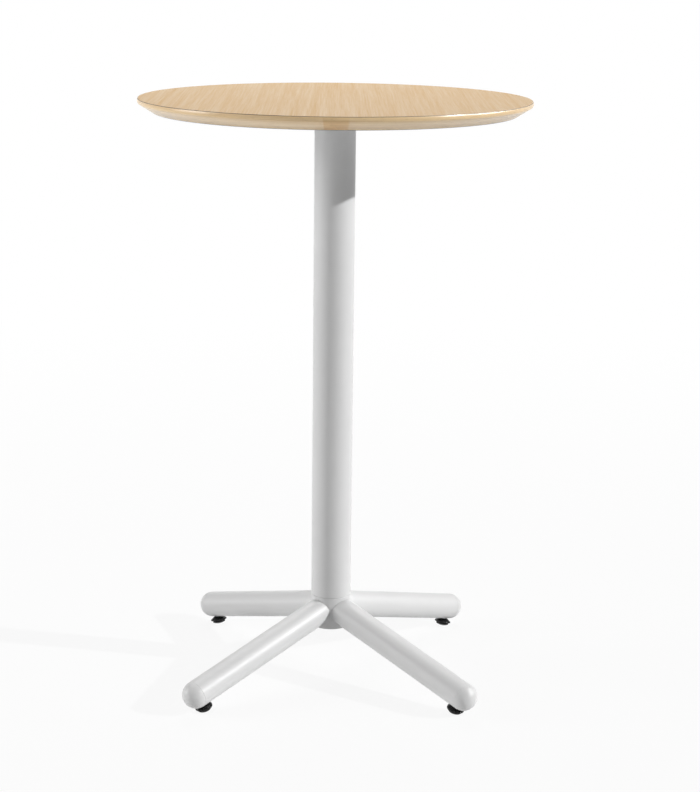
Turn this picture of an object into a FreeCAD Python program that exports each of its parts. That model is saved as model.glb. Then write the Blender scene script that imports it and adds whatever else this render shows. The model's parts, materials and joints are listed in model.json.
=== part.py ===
import FreeCAD, Part
import math
import os
from FreeCAD import Placement, Rotation, Vector

# Round standing meeting table. Millimetres, +Z up, origin on the floor below the centre of the top.

# Round top
TABLE_HEIGHT = 1100.0  # floor to the face of the top
TOP_DIAMETER = 720.0
TOP_THICKNESS = 25.0
EDGE_BAND = 8.5  # upright part of the edge, above the undercut
EDGE_CROWN = 1.0  # how far the middle of the band swells out past its ends
UNDERCUT_RUN = 27.5  # how far the undercut runs in below the edge
EDGE_ARRIS = 0.5  # chamfer where the face meets the edge
EDGE_ROUND = 2.0  # radius where the band meets the undercut
FACE_LAMINATE = 1.0
BACKING_LAMINATE = 0.8
LIPPING_WIDTH = 44.0  # solid wood around the core board
LIPPING_LENGTHS = 4
SCARF_LENGTH = 46.0  # run of a scarf joint along the edge
SCARF_AZIMUTH = -93.3  # degrees, where the first scarf meets the outer edge

# Plate that holds the top
PLATE_DIAMETER = 300.0
PLATE_THICKNESS = 5.0
PLATE_CHAMFER = 1.5
BOSS_HEIGHT = 25.0  # threaded boss below the plate, inside the column
BOSS_CHAMFER = 1.5
SCREW_COUNT = 6
SCREW_CIRCLE_DIAMETER = 260.0
SCREW_DIAMETER = 6.0
SCREW_REACH = 9.0  # length of screw inside its insert
SCREW_HEAD_DIAMETER = 11.0
SCREW_HEAD_HEIGHT = 3.6
SCREW_SOCKET = 4.0  # across the flats
WASHER_DIAMETER = 14.0
WASHER_THICKNESS = 1.2
INSERT_DIAMETER = 10.0
INSERT_LENGTH = 13.0

# Column, tie rod and hub
COLUMN_DIAMETER = 76.0
COLUMN_WALL = 2.5
HUB_WALL = 4.0
HUB_ABOVE_LEGS = 22.3  # seam above the crossing of the leg axes
HUB_BELOW_LEGS = 40.0  # bottom of the hub below that crossing
HEAD_THICKNESS = 12.0  # plug in the hub, flush with the seam
HEAD_SPIGOT = 25.0  # its spigot inside the column
HEAD_CHAMFER = 1.5
SPIGOT_FIT = 0.15  # radial clearance of the spigot and the boss in the tube
TIE_ROD_DIAMETER = 12.0
TIE_ROD_TAIL = 5.0  # rod standing out below its nut
TIE_ROD_NUT_FLATS = 18.0
TIE_ROD_NUT_HEIGHT = 10.0
TIE_ROD_WASHER_DIAMETER = 24.0
TIE_ROD_WASHER_THICKNESS = 2.5
COVER_THICKNESS = 3.0  # cover that closes the hub from below
COVER_SKIRT = 9.0
COVER_SKIRT_WALL = 2.0
COVER_INSET = 1.0
SCREW_HEAD_ROUNDING = 0.4  # share of a screw head's height
SCREW_SOCKET_DEPTH = 0.6  # share of a screw head's height
CLEARANCE_HOLE = 0.5  # radial clearance of a bolt in a plain hole
THREAD_FIT = 0.05  # radial clearance of a thread in its nut, both drawn as cylinders
PUSH_FIT = 0.1  # radial clearance of a plug or cover pushed into a tube

# Legs
LEG_AZIMUTHS = {
    "front_left": -135.0,
    "front_right": -45.0,
    "back_right": 45.0,
    "back_left": 135.0,
}
LEG_ANGLE = 14.8  # degrees below level
LEG_DIAMETER = 51.0
LEG_WALL = 2.0
LEG_REACH = 357.0  # along the leg's axis, from the column's axis to the end of the tube
LEG_END_CHAMFER = 0.4  # at the crease between tube and end cap
COPE_GAP = 0.2  # between the coped end of a leg and the hub
ROOT_PLUG_SETBACK = 9.0  # from the hub to the threaded plug in the leg
ROOT_PLUG_THICKNESS = 16.0
LEG_BOLT_DIAMETER = 10.0
LEG_BOLT_HEAD_DIAMETER = 17.0
LEG_BOLT_HEAD_HEIGHT = 5.5
LEG_BOLT_SOCKET = 6.0
SADDLE_DIAMETER = 22.0
SADDLE_LEAST = 3.0  # thinnest part of the saddle below the bolt's head
CAP_SPIGOT = 24.0  # end cap inside the tube

# Feet, measured along the axis of the stud from the underside of the leg
FOOT_SETBACK = 10.0  # from the end of the leg's tube back to the stud's axis
FOOT_HEIGHT = 15.1
SEAT_GAP = 0.3  # between the leg and the collar screwed home
STUD_DIAMETER = 10.0
STUD_LENGTH = 32.0  # stud above the collar
STUD_LEAD = 1.0  # chamfer at the stud's tip
STUD_HOLE_SPARE = 3.0  # hole deeper than the stud
COLLAR_DIAMETER = 32.6
COLLAR_TOP_DIAMETER = 18.0
COLLAR_HEIGHT = 7.7
COLLAR_RIM = 2.6  # upright rim of the collar
COLLAR_EDGE = 0.9  # rounding of the rim
GRIP_COUNT = 12
GRIP_DIAMETER = 5.0
GRIP_DEPTH = 0.8
COLLAR_FIT = 0.02  # radial, collar moulded on the stud
SOLE_DIAMETER = 25.2
SOLE_GAP = 0.3  # between collar and sole
SOLE_DOME_RADIUS = 26.0
SOLE_CHAMFER = 1.0
SOLE_EDGE = 0.8  # rounding between the side and the dome
SOLE_ROOF = 1.6  # wall over the stud's head
NECK_DIAMETER = 7.0
NECK_FIT = 0.08  # radial clearance of neck and head in the sole
STUD_HEAD_DIAMETER = 12.0
STUD_HEAD_HEIGHT = 2.2
STUD_HEAD_PLAY = 0.1  # above and below the head

# Margins of the drawing, which leave no mark on the table
SAME_PLACE = 1e-4  # two edges nearer than this lie at one place
SECTOR_OVERRUN = 0.2  # share of a scarf's run, drawn past the ring's inner edge
SECTOR_REACH = 2.0  # times the top's radius, where a sector's outer corner is drawn

# Levels and radii that follow from the sizes above
SLOPE = math.radians(LEG_ANGLE)
TOP_RADIUS = TOP_DIAMETER / 2
CORE_RADIUS = TOP_RADIUS - LIPPING_WIDTH
UNDERSIDE = TABLE_HEIGHT - TOP_THICKNESS
FACE_GLUE_LEVEL = TABLE_HEIGHT - FACE_LAMINATE
BACKING_GLUE_LEVEL = UNDERSIDE + BACKING_LAMINATE
PLATE_BOTTOM = UNDERSIDE - PLATE_THICKNESS
COLUMN_RADIUS = COLUMN_DIAMETER / 2
COLUMN_BORE = COLUMN_RADIUS - COLUMN_WALL
HUB_BORE = COLUMN_RADIUS - HUB_WALL
LEG_RADIUS = LEG_DIAMETER / 2
LEG_BORE = LEG_RADIUS - LEG_WALL
FOOT_STATION = LEG_REACH - FOOT_SETBACK
STUD_RADIUS = STUD_DIAMETER / 2

# Along the stud's axis, from the leg's underside down
COLLAR_BOTTOM = SEAT_GAP + COLLAR_HEIGHT
SOLE_TOP = COLLAR_BOTTOM + SOLE_GAP
STUD_HEAD_TOP = SOLE_TOP + SOLE_ROOF + STUD_HEAD_PLAY
STUD_HEAD_BOTTOM = STUD_HEAD_TOP + STUD_HEAD_HEIGHT
DOME_CENTRE = FOOT_HEIGHT - SOLE_DOME_RADIUS

# The lowest point of the sloping, domed sole is on the floor
LEG_CROSSING = (
    FOOT_STATION * math.sin(SLOPE)
    + (LEG_RADIUS + DOME_CENTRE) * math.cos(SLOPE)
    + SOLE_DOME_RADIUS
)
SEAM = LEG_CROSSING + HUB_ABOVE_LEGS
HUB_BOTTOM = LEG_CROSSING - HUB_BELOW_LEGS
HEAD_BOTTOM = SEAM - HEAD_THICKNESS
TIE_ROD_WASHER_BOTTOM = HEAD_BOTTOM - TIE_ROD_WASHER_THICKNESS
TIE_ROD_NUT_BOTTOM = TIE_ROD_WASHER_BOTTOM - TIE_ROD_NUT_HEIGHT


def cylinder(radius, low, high):
    return Part.makeCylinder(radius, high - low, Vector(0, 0, low))


def ring(outer, inner, low, high):
    return cylinder(outer, low, high).cut(cylinder(inner, low, high))


def hexagon(flats, low, high):
    corner = flats / math.sqrt(3)
    points = [Vector(0, 0, low) + polar(corner, 60 * i) for i in range(7)]
    return Part.Face(Part.makePolygon(points)).extrude(Vector(0, 0, high - low))


def polar(radius, degrees):
    angle = math.radians(degrees)
    return Vector(radius * math.cos(angle), radius * math.sin(angle), 0)


def turned(outline):
    """A solid turned about +Z from an outline of radii and heights. A point given as a pair of
    points is an arc through the first to the second."""
    edges = []
    start = None
    for item in outline + [outline[0]]:
        through, end = item if isinstance(item[0], tuple) else (None, item)
        end = Vector(end[0], 0, end[1])
        if start is not None and through is not None:
            edges.append(Part.Arc(start, Vector(through[0], 0, through[1]), end).toShape())
        elif start is not None:
            edges.append(Part.LineSegment(start, end).toShape())
        start = end
    face = Part.Face(Part.Wire(edges))
    return face.revolve(Vector(0, 0, 0), Vector(0, 0, 1), 360)


def circular_edges(solid, radius, level):
    """The circles of this radius at this height."""
    found = []
    for edge in solid.Edges:
        if edge.Degenerated or not isinstance(edge.Curve, Part.Circle):
            continue
        apart = max(abs(edge.Curve.Radius - radius), abs(edge.Curve.Center.z - level))
        if apart < SAME_PLACE:
            found.append(edge)
    return found


def button_screw(diameter, head_diameter, head_height, socket, seat, tip):
    """A screw along +Z: a rounded head with a hexagon socket below the seat, a shank up to the tip."""
    head_end = seat - head_height
    head = cylinder(head_diameter / 2, head_end, seat)
    rim = circular_edges(head, head_diameter / 2, head_end)
    head = head.makeFillet(head_height * SCREW_HEAD_ROUNDING, rim)
    socket_end = head_end + head_height * SCREW_SOCKET_DEPTH
    screw = head.fuse(cylinder(diameter / 2, seat, tip))
    return screw.cut(hexagon(socket, head_end, socket_end))


def moved(solid, placement):
    copy = solid.copy()
    copy.Placement = placement.multiply(solid.Placement)
    return copy


def turned_to(solid, degrees):
    return moved(solid, Placement(Vector(0, 0, 0), Rotation(Vector(0, 0, 1), degrees)))


def save(name, *solids):
    shape = solids[0] if len(solids) == 1 else Part.makeCompound(list(solids))
    shape.exportStep("parts/" + name + ".step")


# The top


def top_blank():
    """The whole round top: face, crowned band, undercut and underside."""
    band_foot = TABLE_HEIGHT - EDGE_BAND
    band_head = TABLE_HEIGHT - EDGE_ARRIS
    end_radius = TOP_RADIUS - EDGE_CROWN
    crown = (TOP_RADIUS, (band_foot + band_head) / 2)
    blank = turned(
        [
            (0, UNDERSIDE),
            (TOP_RADIUS - UNDERCUT_RUN, UNDERSIDE),
            (end_radius, band_foot),
            (crown, (end_radius, band_head)),
            (end_radius - EDGE_ARRIS, TABLE_HEIGHT),
            (0, TABLE_HEIGHT),
        ]
    )
    return blank.makeFillet(EDGE_ROUND, circular_edges(blank, end_radius, band_foot))


def screw_places():
    step = 360 / SCREW_COUNT
    return [polar(SCREW_CIRCLE_DIAMETER / 2, step * (i + 0.5)) for i in range(SCREW_COUNT)]


def at_screws(solid):
    return [moved(solid, Placement(place, Rotation())) for place in screw_places()]


def lipping_sector(start):
    """Plan of one length of lipping, drawn wider than the ring, between two scarf planes."""
    scarf = math.degrees(SCARF_LENGTH / TOP_RADIUS)
    step = 360 / LIPPING_LENGTHS
    corners = []
    for azimuth in (start, start + step):
        outer = polar(TOP_RADIUS, azimuth)
        run = polar(CORE_RADIUS, azimuth + scarf) - outer
        corners.append((outer + run * (1 + SECTOR_OVERRUN), outer - run))
    reach = SECTOR_REACH * TOP_RADIUS / math.cos(math.radians(step / 2))
    far = polar(reach, start + step / 2)
    points = [corners[0][0], corners[0][1], far, corners[1][1], corners[1][0], corners[0][0]]
    plan = Part.Face(Part.makePolygon(points))
    plan.translate(Vector(0, 0, BACKING_GLUE_LEVEL))
    return plan.extrude(Vector(0, 0, FACE_GLUE_LEVEL - BACKING_GLUE_LEVEL))


def make_top():
    blank = top_blank()
    face = cylinder(TOP_RADIUS, FACE_GLUE_LEVEL, TABLE_HEIGHT)
    save("top_face_laminate", blank.common(face))

    insert_hole = cylinder(INSERT_DIAMETER / 2, UNDERSIDE, UNDERSIDE + INSERT_LENGTH)
    holes = Part.makeCompound(at_screws(insert_hole))
    backing = blank.common(cylinder(TOP_RADIUS, UNDERSIDE, BACKING_GLUE_LEVEL))
    save("top_backing_laminate", backing.cut(holes))
    core = cylinder(CORE_RADIUS, BACKING_GLUE_LEVEL, FACE_GLUE_LEVEL)
    save("top_core_board", core.cut(holes))

    band = ring(TOP_RADIUS, CORE_RADIUS, BACKING_GLUE_LEVEL, FACE_GLUE_LEVEL)
    lipping = blank.common(band)
    step = 360 / LIPPING_LENGTHS
    for i in range(LIPPING_LENGTHS):
        sector = lipping_sector(SCARF_AZIMUTH + step * i)
        save("edge_lipping_%d" % (i + 1), lipping.common(sector))

    bore = cylinder(SCREW_DIAMETER / 2 + THREAD_FIT, UNDERSIDE, UNDERSIDE + INSERT_LENGTH)
    save("threaded_inserts", *at_screws(insert_hole.cut(bore)))


# The plate below the top, and its screws


def make_plate():
    plate = cylinder(PLATE_DIAMETER / 2, PLATE_BOTTOM, UNDERSIDE)
    rim = circular_edges(plate, PLATE_DIAMETER / 2, PLATE_BOTTOM)
    plate = plate.makeChamfer(PLATE_CHAMFER, rim)
    hole = cylinder(SCREW_DIAMETER / 2 + CLEARANCE_HOLE, PLATE_BOTTOM, UNDERSIDE)
    save("top_plate", plate.cut(Part.makeCompound(at_screws(hole))))

    boss_radius = COLUMN_BORE - SPIGOT_FIT
    boss_bottom = PLATE_BOTTOM - BOSS_HEIGHT
    boss = cylinder(boss_radius, boss_bottom, PLATE_BOTTOM)
    boss = boss.makeChamfer(BOSS_CHAMFER, circular_edges(boss, boss_radius, boss_bottom))
    thread = cylinder(TIE_ROD_DIAMETER / 2 + THREAD_FIT, boss_bottom, PLATE_BOTTOM)
    save("top_plate_boss", boss.cut(thread))

    washer_bottom = PLATE_BOTTOM - WASHER_THICKNESS
    hole_radius = SCREW_DIAMETER / 2 + CLEARANCE_HOLE
    washer = ring(WASHER_DIAMETER / 2, hole_radius, washer_bottom, PLATE_BOTTOM)
    save("top_screw_washers", *at_screws(washer))

    screw = button_screw(
        SCREW_DIAMETER,
        SCREW_HEAD_DIAMETER,
        SCREW_HEAD_HEIGHT,
        SCREW_SOCKET,
        washer_bottom,
        UNDERSIDE + SCREW_REACH,
    )
    save("top_screws", *at_screws(screw))


# Column, tie rod and hub


def make_column():
    save("column_tube", ring(COLUMN_RADIUS, COLUMN_BORE, SEAM, PLATE_BOTTOM))

    rod_radius = TIE_ROD_DIAMETER / 2
    rod_bottom = TIE_ROD_NUT_BOTTOM - TIE_ROD_TAIL
    save("tie_rod", cylinder(rod_radius, rod_bottom, PLATE_BOTTOM))
    washer = ring(
        TIE_ROD_WASHER_DIAMETER / 2,
        rod_radius + CLEARANCE_HOLE,
        TIE_ROD_WASHER_BOTTOM,
        HEAD_BOTTOM,
    )
    save("tie_rod_washer", washer)
    nut = hexagon(TIE_ROD_NUT_FLATS, TIE_ROD_NUT_BOTTOM, TIE_ROD_WASHER_BOTTOM)
    thread = cylinder(rod_radius + THREAD_FIT, TIE_ROD_NUT_BOTTOM, TIE_ROD_WASHER_BOTTOM)
    save("tie_rod_nut", nut.cut(thread))


def make_hub():
    tube = ring(COLUMN_RADIUS, HUB_BORE, HUB_BOTTOM, SEAM)
    hole = Part.makeCylinder(LEG_BOLT_DIAMETER / 2 + CLEARANCE_HOLE, COLUMN_DIAMETER)
    hole = in_leg(hole)
    save("hub_tube", tube.cut(Part.makeCompound(at_legs(hole))))

    spigot_radius = COLUMN_BORE - SPIGOT_FIT
    spigot_top = SEAM + HEAD_SPIGOT
    disc = cylinder(HUB_BORE - PUSH_FIT, HEAD_BOTTOM, SEAM)
    spigot = cylinder(spigot_radius, SEAM, spigot_top)
    spigot = spigot.makeChamfer(HEAD_CHAMFER, circular_edges(spigot, spigot_radius, spigot_top))
    hole_radius = TIE_ROD_DIAMETER / 2 + CLEARANCE_HOLE
    save("hub_head", disc.fuse(spigot).cut(cylinder(hole_radius, HEAD_BOTTOM, spigot_top)))

    cover_radius = HUB_BORE - PUSH_FIT
    cover_bottom = HUB_BOTTOM + COVER_INSET
    skirt_top = cover_bottom + COVER_THICKNESS + COVER_SKIRT
    cover = cylinder(cover_radius, cover_bottom, skirt_top)
    hollow = cylinder(cover_radius - COVER_SKIRT_WALL, cover_bottom + COVER_THICKNESS, skirt_top)
    save("hub_bottom_cover", cover.cut(hollow))


# Legs. In a leg's own frame the leg's axis is +Z, from the column's axis outwards, and +X points
# square to it, down to the floor.


def in_leg(solid):
    """Place a solid of the leg's frame in a leg that points along the table's +X."""
    tilt = Rotation(Vector(0, 1, 0), 90 + LEG_ANGLE)
    return moved(solid, Placement(Vector(0, 0, LEG_CROSSING), tilt))


def at_legs(solid):
    return [turned_to(solid, azimuth) for azimuth in LEG_AZIMUTHS.values()]


def in_foot(solid):
    """Place a solid of the foot's frame, whose +Z is the stud's axis from the leg's underside down."""
    seat = Placement(Vector(LEG_RADIUS, 0, FOOT_STATION), Rotation(Vector(0, 1, 0), 90))
    return in_leg(moved(solid, seat))


def stud_hole(radius):
    depth = STUD_LENGTH + STUD_HOLE_SPARE
    return in_foot(cylinder(radius, -depth, LEG_RADIUS))


def leg_tube():
    tube = Part.makeCylinder(LEG_RADIUS, LEG_REACH)
    tube = tube.makeChamfer(LEG_END_CHAMFER, circular_edges(tube, LEG_RADIUS, LEG_REACH))
    tube = in_leg(tube.cut(Part.makeCylinder(LEG_BORE, LEG_REACH)))
    hub = cylinder(COLUMN_RADIUS + COPE_GAP, HUB_BOTTOM - LEG_RADIUS, SEAM + LEG_RADIUS)
    tube = tube.cut(hub)
    outer = max(tube.Solids, key=lambda solid: solid.Volume)
    wall_hole = cylinder(STUD_RADIUS + CLEARANCE_HOLE, -LEG_RADIUS, LEG_RADIUS)
    return outer.cut(in_foot(wall_hole))


def end_cap():
    """Domed cap: a spigot in the tube, and a hemisphere that carries on the tube's surface."""
    spigot_radius = LEG_BORE - PUSH_FIT
    spigot_end = LEG_REACH - CAP_SPIGOT
    dome_start = LEG_REACH + LEG_END_CHAMFER
    diagonal = LEG_RADIUS * math.sqrt(0.5)
    dome = ((diagonal, dome_start + diagonal), (0, dome_start + LEG_RADIUS))
    cap = turned(
        [
            (0, spigot_end),
            (spigot_radius, spigot_end),
            (spigot_radius, LEG_REACH),
            (LEG_RADIUS - LEG_END_CHAMFER, LEG_REACH),
            (LEG_RADIUS, dome_start),
            dome,
        ]
    )
    return in_leg(cap).cut(stud_hole(STUD_RADIUS + THREAD_FIT))


def root_plug_start():
    return (COLUMN_RADIUS + COPE_GAP) / math.cos(SLOPE) + ROOT_PLUG_SETBACK


def root_plug():
    """Steel disc welded in the leg's root, threaded for the leg's bolt."""
    start = root_plug_start()
    end = start + ROOT_PLUG_THICKNESS
    return in_leg(ring(LEG_BORE - PUSH_FIT, LEG_BOLT_DIAMETER / 2 + THREAD_FIT, start, end))


def saddle_seat():
    """Where the flat of the saddle lies on the leg's axis."""
    radius = SADDLE_DIAMETER / 2
    wall = math.sqrt(HUB_BORE**2 - radius**2)
    return (wall - radius * math.sin(SLOPE)) / math.cos(SLOPE) - SADDLE_LEAST


def leg_bolt_saddle():
    """Block between the round hub wall and the flat bolt head."""
    block = ring(
        SADDLE_DIAMETER / 2,
        LEG_BOLT_DIAMETER / 2 + CLEARANCE_HOLE,
        saddle_seat(),
        COLUMN_DIAMETER,
    )
    inside = cylinder(HUB_BORE, HUB_BOTTOM, SEAM)
    return in_leg(block).common(inside)


def leg_bolt():
    tip = root_plug_start() + ROOT_PLUG_THICKNESS
    bolt = button_screw(
        LEG_BOLT_DIAMETER,
        LEG_BOLT_HEAD_DIAMETER,
        LEG_BOLT_HEAD_HEIGHT,
        LEG_BOLT_SOCKET,
        saddle_seat(),
        tip,
    )
    return in_leg(bolt)


def make_legs():
    tube = leg_tube()
    cap = end_cap()
    for name, azimuth in LEG_AZIMUTHS.items():
        save("leg_tube_" + name, turned_to(tube, azimuth))
        save("leg_end_cap_" + name, turned_to(cap, azimuth))
    save("leg_root_plugs", *at_legs(root_plug()))
    save("leg_bolts", *at_legs(leg_bolt()))
    save("leg_bolt_saddles", *at_legs(leg_bolt_saddle()))


# Feet. In a foot's own frame +Z is the stud's axis, pointing down, and 0 is the leg's underside.


def foot_stud():
    """Threaded stud with a neck and a flat head that turns inside the sole."""
    head_radius = STUD_HEAD_DIAMETER / 2
    tip = SEAT_GAP - STUD_LENGTH
    return turned(
        [
            (0, tip),
            (STUD_RADIUS - STUD_LEAD, tip),
            (STUD_RADIUS, tip + STUD_LEAD),
            (STUD_RADIUS, COLLAR_BOTTOM),
            (NECK_DIAMETER / 2, COLLAR_BOTTOM),
            (NECK_DIAMETER / 2, STUD_HEAD_TOP),
            (head_radius, STUD_HEAD_TOP),
            (head_radius, STUD_HEAD_BOTTOM),
            (0, STUD_HEAD_BOTTOM),
        ]
    )


def foot_collar():
    """Wide black collar: a cone below the leg, then a rim with grip notches."""
    rim_radius = COLLAR_DIAMETER / 2
    rim_top = COLLAR_BOTTOM - COLLAR_RIM
    bore = STUD_RADIUS + COLLAR_FIT
    collar = turned(
        [
            (bore, SEAT_GAP),
            (COLLAR_TOP_DIAMETER / 2, SEAT_GAP),
            (rim_radius, rim_top),
            (rim_radius, COLLAR_BOTTOM),
            (bore, COLLAR_BOTTOM),
        ]
    )
    edges = circular_edges(collar, rim_radius, rim_top)
    edges += circular_edges(collar, rim_radius, COLLAR_BOTTOM)
    collar = collar.makeFillet(COLLAR_EDGE, edges)
    notch = cylinder(GRIP_DIAMETER / 2, SEAT_GAP, COLLAR_BOTTOM)
    reach = rim_radius + GRIP_DIAMETER / 2 - GRIP_DEPTH
    step = 360 / GRIP_COUNT
    notches = [moved(notch, Placement(polar(reach, step * i), Rotation())) for i in range(GRIP_COUNT)]
    return collar.cut(Part.makeCompound(notches))


def dome_level(radius):
    """Where the sole's dome has this radius."""
    return DOME_CENTRE + math.sqrt(SOLE_DOME_RADIUS**2 - radius**2)


def foot_sole():
    """Domed sole that turns freely on the stud's head."""
    side = SOLE_DIAMETER / 2
    neck = NECK_DIAMETER / 2 + NECK_FIT
    cavity = STUD_HEAD_DIAMETER / 2 + NECK_FIT
    cavity_top = SOLE_TOP + SOLE_ROOF
    cavity_bottom = STUD_HEAD_BOTTOM + STUD_HEAD_PLAY
    sole = turned(
        [
            (0, SOLE_TOP),
            (side - SOLE_CHAMFER, SOLE_TOP),
            (side, SOLE_TOP + SOLE_CHAMFER),
            (side, dome_level(side)),
            ((side / 2, dome_level(side / 2)), (0, FOOT_HEIGHT)),
        ]
    )
    sole = sole.makeFillet(SOLE_EDGE, circular_edges(sole, side, dome_level(side)))
    inside = cylinder(neck, SOLE_TOP, cavity_top).fuse(cylinder(cavity, cavity_top, cavity_bottom))
    return sole.cut(inside)


def make_feet():
    pieces = {"stud": foot_stud(), "collar": foot_collar(), "sole": foot_sole()}
    for name, azimuth in LEG_AZIMUTHS.items():
        for piece, solid in pieces.items():
            save("foot_" + piece + "_" + name, turned_to(in_foot(solid), azimuth))


os.makedirs("parts", exist_ok=True)
make_top()
make_plate()
make_column()
make_hub()
make_legs()
make_feet()
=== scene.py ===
import json
import math

import bmesh
import bpy
from mathutils import Matrix, Vector


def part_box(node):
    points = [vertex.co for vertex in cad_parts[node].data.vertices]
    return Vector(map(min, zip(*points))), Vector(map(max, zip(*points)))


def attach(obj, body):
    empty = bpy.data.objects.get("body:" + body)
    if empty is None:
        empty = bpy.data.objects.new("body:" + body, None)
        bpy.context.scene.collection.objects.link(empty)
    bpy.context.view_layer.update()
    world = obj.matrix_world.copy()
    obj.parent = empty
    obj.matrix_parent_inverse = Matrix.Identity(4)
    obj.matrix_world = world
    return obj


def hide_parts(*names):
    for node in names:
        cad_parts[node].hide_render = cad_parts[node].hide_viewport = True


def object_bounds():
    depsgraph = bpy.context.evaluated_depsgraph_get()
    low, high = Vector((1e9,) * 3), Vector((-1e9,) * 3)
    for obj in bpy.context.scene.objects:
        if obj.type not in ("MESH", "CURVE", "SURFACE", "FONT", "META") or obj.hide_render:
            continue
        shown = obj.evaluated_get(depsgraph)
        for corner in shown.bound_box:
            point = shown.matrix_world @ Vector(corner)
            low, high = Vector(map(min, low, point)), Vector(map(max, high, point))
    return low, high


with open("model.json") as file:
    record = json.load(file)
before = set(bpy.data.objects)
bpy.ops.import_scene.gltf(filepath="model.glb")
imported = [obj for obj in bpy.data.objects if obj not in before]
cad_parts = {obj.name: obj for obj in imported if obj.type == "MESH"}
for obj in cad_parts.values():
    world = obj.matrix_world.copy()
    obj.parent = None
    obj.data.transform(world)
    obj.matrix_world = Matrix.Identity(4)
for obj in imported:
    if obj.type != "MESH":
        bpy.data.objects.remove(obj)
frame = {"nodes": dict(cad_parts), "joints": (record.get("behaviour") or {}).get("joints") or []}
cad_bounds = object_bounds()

# Round standing meeting table. Metres, +Z up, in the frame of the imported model.

MM = 0.001
ON_AXIS = 0.001 * MM  # a point nearer to the axis than this is on it
UP = Vector((0, 0, 1))

# ---------------------------------------------------------------- sizes read from the frame

FACE_LOW, FACE_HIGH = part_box("top_face_laminate")
BACKING_LOW, BACKING_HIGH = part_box("top_backing_laminate")
PLATE_LOW, PLATE_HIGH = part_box("top_plate")
COLUMN_LOW, COLUMN_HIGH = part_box("column_tube")
HUB_LOW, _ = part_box("hub_tube")
COVER_LOW, COVER_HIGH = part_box("hub_bottom_cover")

TOP_RADIUS = -max(cad_bounds[0].x, cad_bounds[0].y)  # the nearer side, so that the top stays inside
TABLE_HEIGHT = FACE_HIGH.z
FACE_GLUE_LEVEL = FACE_LOW.z
UNDERSIDE = BACKING_LOW.z
BACKING_GLUE_LEVEL = BACKING_HIGH.z
PLATE_RADIUS = PLATE_HIGH.x
PLATE_BOTTOM = PLATE_LOW.z
COLUMN_RADIUS = COLUMN_HIGH.x
SEAM = COLUMN_LOW.z
HUB_BOTTOM = HUB_LOW.z
COVER_RADIUS = COVER_HIGH.x
COVER_BOTTOM = COVER_LOW.z
COVER_TOP = COVER_HIGH.z

# ---------------------------------------------------------------- sizes the boxes don't give

EDGE_BAND = 8.5 * MM  # height of the edge's upright band, above the undercut
EDGE_CROWN = 1.0 * MM  # how far the band's middle stands out past its ends
UNDERCUT_RUN = 27.5 * MM
EDGE_ARRIS = 0.5 * MM
EDGE_ROUND = 2.0 * MM
BACKING_EDGE = 0.6 * MM
LIPPING_WIDTH = 44.0 * MM
LIPPING_LENGTHS = 4
SCARF_LENGTH = 46.0 * MM  # along the edge, from a scarf's outer end to its inner end
SCARF_AZIMUTH = -93.3  # degrees from +X, outer end of the first scarf

PLATE_CHAMFER = 1.5 * MM
PLATE_TOP_EDGE = 0.3 * MM
PLATE_CHAMFER_EDGE = 0.4 * MM
SCREW_COUNT = 6
SCREW_CIRCLE_RADIUS = 130.0 * MM
SCREW_RADIUS = 3.0 * MM
SCREW_REACH = 9.0 * MM
SCREW_HEAD_RADIUS = 5.5 * MM
SCREW_HEAD_HEIGHT = 3.6 * MM
SCREW_SOCKET = 4.0 * MM
WASHER_RADIUS = 7.0 * MM
WASHER_BORE = 3.5 * MM
WASHER_THICKNESS = 1.2 * MM
WASHER_EDGE = 0.25 * MM

COLUMN_WALL = 2.5 * MM
HUB_WALL = 4.0 * MM
SEAM_EDGE = 0.8 * MM  # rounded ends of column and hub
SEAM_GAP = 0.3 * MM  # dark line between column and hub
COVER_THICKNESS = 3.0 * MM
COVER_SKIRT_WALL = 2.0 * MM
COVER_EDGE = 0.6 * MM

LEG_RADIUS = 25.5 * MM
LEG_WALL = 2.0 * MM
LEG_REACH = 357.0 * MM  # along the leg, from the column's axis to the end cap
LEG_ROOT_EDGE = 0.5 * MM
LEG_END_CHAMFER = 0.4 * MM
COPE_GAP = 0.2 * MM
CAP_SPIGOT = 24.0 * MM
PUSH_FIT = 0.1 * MM

FOOT_HEIGHT = 15.1 * MM  # on the foot's own axis, from the leg's underside
SEAT_GAP = 0.3 * MM
STUD_RADIUS = 5.0 * MM
STUD_LENGTH = 32.0 * MM
THREAD_PITCH = 1.5 * MM
THREAD_DEPTH = 0.9 * MM
COLLAR_RADIUS = 16.3 * MM
COLLAR_TOP_RADIUS = 9.0 * MM
COLLAR_HEIGHT = 7.7 * MM
COLLAR_RIM = 2.6 * MM
COLLAR_EDGE = 0.9 * MM
COLLAR_TOP_EDGE = 0.4 * MM
COLLAR_FIT = 0.02 * MM
GRIP_COUNT = 12
GRIP_RADIUS = 2.5 * MM
GRIP_DEPTH = 0.8 * MM
SOLE_RADIUS = 12.6 * MM
SOLE_GAP = 0.3 * MM
SOLE_DOME_RADIUS = 26.0 * MM
SOLE_CHAMFER = 1.0 * MM
SOLE_CHAMFER_EDGE = 0.3 * MM
SOLE_EDGE = 0.8 * MM
SOLE_ROOF = 1.6 * MM
NECK_RADIUS = 3.5 * MM
NECK_FIT = 0.08 * MM
STUD_HEAD_RADIUS = 6.0 * MM
STUD_HEAD_HEIGHT = 2.2 * MM
STUD_HEAD_PLAY = 0.1 * MM

CORNERS = ["front_left", "front_right", "back_right", "back_left"]


# ---------------------------------------------------------------- mesh helpers


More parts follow.
